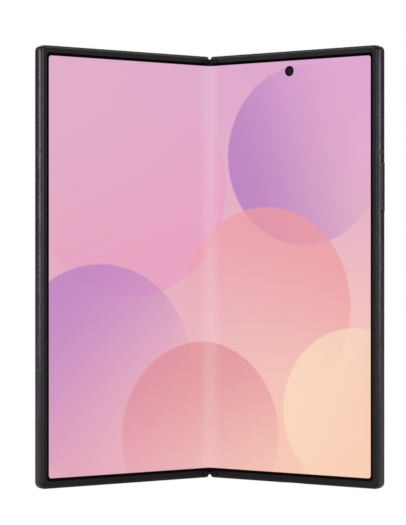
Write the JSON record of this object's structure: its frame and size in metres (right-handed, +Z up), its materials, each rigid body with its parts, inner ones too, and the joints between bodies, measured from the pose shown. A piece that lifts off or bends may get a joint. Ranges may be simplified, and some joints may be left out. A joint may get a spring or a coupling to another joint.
{
  "type": "foldable smartphone",
  "caption": "Half-open book-style foldable phone with one bending inner display, geared hinge, cover display, rear camera island, side keys, card tray and charging port.",
  "frame": {"origin": "on the standing surface, in the middle of the rectangle that the half-open phone covers", "axes": "X to the right seen from the front, Y away from the viewer, Z up along the fold axes"},
  "size_m": [0.1248, 0.0421, 0.1584],
  "materials": {
    "frame": "satin graphite anodised",
    "band": "matte",
    "rim": "satin",
    "screen": "gloss, flexible display showing a soft picture",
    "backing": "brushed",
    "hinge_shell": "satin",
    "hinge_steel": "machined",
    "back_cover": "etched glass over a dark backing",
    "lens": "polished, nearly black",
    "lens_metal": "anodised",
    "module": "matte",
    "cell": "satin foil",
    "board": "solder mask",
    "can": "tinned",
    "coil": "wound copper",
    "port_metal": "nickel",
    "tray_metal": "anodised",
    "flash": "translucent"
  },
  "bodies": {
    "hinge_spine": {"hinge_housing": "hinge_shell", "hinge_cap_top": "hinge_shell", "hinge_cap_bottom": "hinge_shell", "hinge_block_upper": "hinge_steel", "hinge_block_lower": "hinge_steel", "gear_block": "hinge_steel", "gear_shafts": "hinge_steel", "display_bend": "screen"},
    "left_half": {"left_frame": "frame", "left_antenna_bands": "band", "left_display_rim": "rim", "left_display_panel": "screen", "left_display_backing": "backing", "left_arm_upper": "hinge_steel", "left_arm_lower": "hinge_steel", "left_gear_arm": "hinge_steel", "left_wing_plate": "hinge_steel", "left_arm_screws": "hinge_steel", "cover_glass": "lens", "cover_display": "lens", "cover_camera": "module", "left_battery": "cell", "cover_board": "board", "earpiece_speaker": "module", "card_reader": "port_metal"},
    "right_half": {"right_frame": "frame", "right_antenna_bands": "band", "right_display_rim": "rim", "right_display_panel": "screen", "right_display_backing": "backing", "right_arm_upper": "hinge_steel", "right_arm_lower": "hinge_steel", "right_gear_arm": "hinge_steel", "right_wing_plate": "hinge_steel", "right_arm_screws": "hinge_steel", "back_glass": "back_cover", "camera_island": "lens_metal", "lens_rings": "lens_metal", "lens_glasses": "lens", "camera_modules": "module", "flash_lens": "flash", "inner_camera": "module", "inner_camera_lens": "lens", "right_battery": "cell", "main_board": "board", "shield_cans": "can", "charging_coil": "coil", "loudspeaker": "module", "vibration_motor": "can", "port_shell": "port_metal", "port_tongue": "module", "side_switches": "port_metal"},
    "left_pinion": {"left_pinion": "hinge_steel"},
    "left_idler": {"left_idler": "hinge_steel"},
    "right_idler": {"right_idler": "hinge_steel"},
    "right_pinion": {"right_pinion": "hinge_steel"},
    "volume_rocker": {"volume_rocker": "frame"},
    "power_key": {"power_key": "frame", "fingerprint_sensor": "lens"},
    "card_tray": {"card_tray": "tray_metal"}
  },
  "joints": [
    {"name": "left_fold", "type": "hinge", "parent": "hinge_spine", "child": "left_half", "pos_m": [-0.0009, 0.0176, 0.0792], "axis": [0, 0, 1], "range_deg": [-33, 57], "deforming": ["display_bend"]},
    {"name": "right_fold", "type": "hinge", "parent": "hinge_spine", "child": "right_half", "pos_m": [0.0009, 0.0176, 0.0792], "axis": [0, 0, -1], "range_deg": [-33, 57]},
    {"name": "left_pinion_spin", "type": "hinge", "parent": "hinge_spine", "child": "left_pinion", "pos_m": [-0.00191, 0.01935, 0.0792], "axis": [0, 0, 1], "range_deg": [-124, 72]},
    {"name": "left_idler_spin", "type": "hinge", "parent": "hinge_spine", "child": "left_idler", "pos_m": [-0.00064, 0.01935, 0.0792], "axis": [0, 0, 1], "range_deg": [-72, 124]},
    {"name": "right_idler_spin", "type": "hinge", "parent": "hinge_spine", "child": "right_idler", "pos_m": [0.00064, 0.01935, 0.0792], "axis": [0, 0, 1], "range_deg": [-124, 72]},
    {"name": "right_pinion_spin", "type": "hinge", "parent": "hinge_spine", "child": "right_pinion", "pos_m": [0.00191, 0.01935, 0.0792], "axis": [0, 0, 1], "range_deg": [-72, 124]},
    {"name": "card_tray_slide", "type": "slide", "parent": "left_half", "child": "card_tray", "axis": [0, 0, 1], "range_m": [0, 0.01]},
    {"name": "power_press", "type": "slide", "parent": "right_half", "child": "power_key", "axis": [-0.8387, 0.5446, 0], "range_m": [0, 0.0002], "stiffness_N_per_m": 4000, "springref_m": -0.0002},
    {"name": "volume_rock", "type": "hinge", "parent": "right_half", "child": "volume_rocker", "pos_m": [0.05968, -0.01789, 0.1077], "axis": [-0.5446, -0.8387, 0], "range_deg": [-0.9, 0.9], "stiffness_Nm_per_rad": 0.6}
  ],
  "couplings": [
    {"joint": "right_fold", "follows": "left_fold", "ratio": 1},
    {"joint": "left_pinion_spin", "follows": "left_fold", "ratio": -2.1667},
    {"joint": "left_idler_spin", "follows": "left_fold", "ratio": 2.1667},
    {"joint": "right_idler_spin", "follows": "left_fold", "ratio": -2.1667},
    {"joint": "right_pinion_spin", "follows": "left_fold", "ratio": 2.1667}
  ]
}
